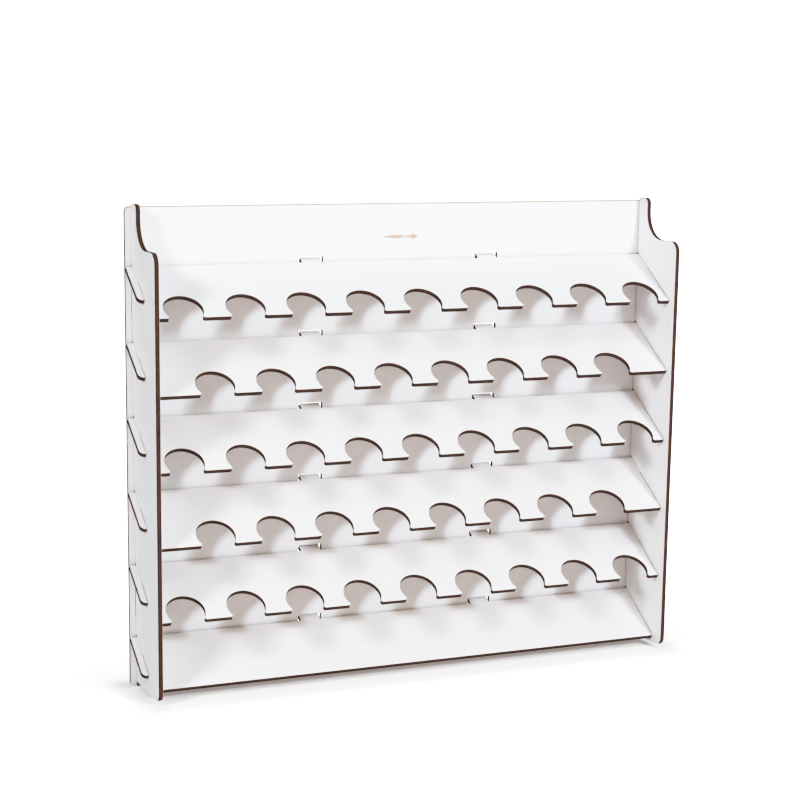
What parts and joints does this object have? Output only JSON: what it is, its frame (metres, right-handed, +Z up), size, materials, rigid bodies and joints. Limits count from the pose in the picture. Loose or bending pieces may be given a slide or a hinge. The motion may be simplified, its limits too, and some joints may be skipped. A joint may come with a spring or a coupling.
{
  "type": "paint rack",
  "caption": "Free-standing flat-pack rack with sloping notched shelves that hold small dropper paint bottles in staggered rows.",
  "frame": {"origin": "centre of the footprint, level with the back panel's bottom edge", "axes": "+X to the right seen from the front, -Y to the front, +Z up"},
  "size_m": [0.4092, 0.0584, 0.3395],
  "materials": {
    "white_laminate": "3.2 mm fibreboard with smooth satin white laminate on one face (the shelves' top faces, the back panel's front) and raw brown fibre on the other; the cut edges are scorched dark brown"
  },
  "bodies": {
    "root": {"back_panel": "white_laminate", "left_side_panel": "white_laminate", "right_side_panel": "white_laminate", "notched_shelf_1": "white_laminate", "notched_shelf_2": "white_laminate", "notched_shelf_3": "white_laminate", "notched_shelf_4": "white_laminate", "notched_shelf_5": "white_laminate", "bottom_shelf": "white_laminate"}
  },
  "joints": []
}
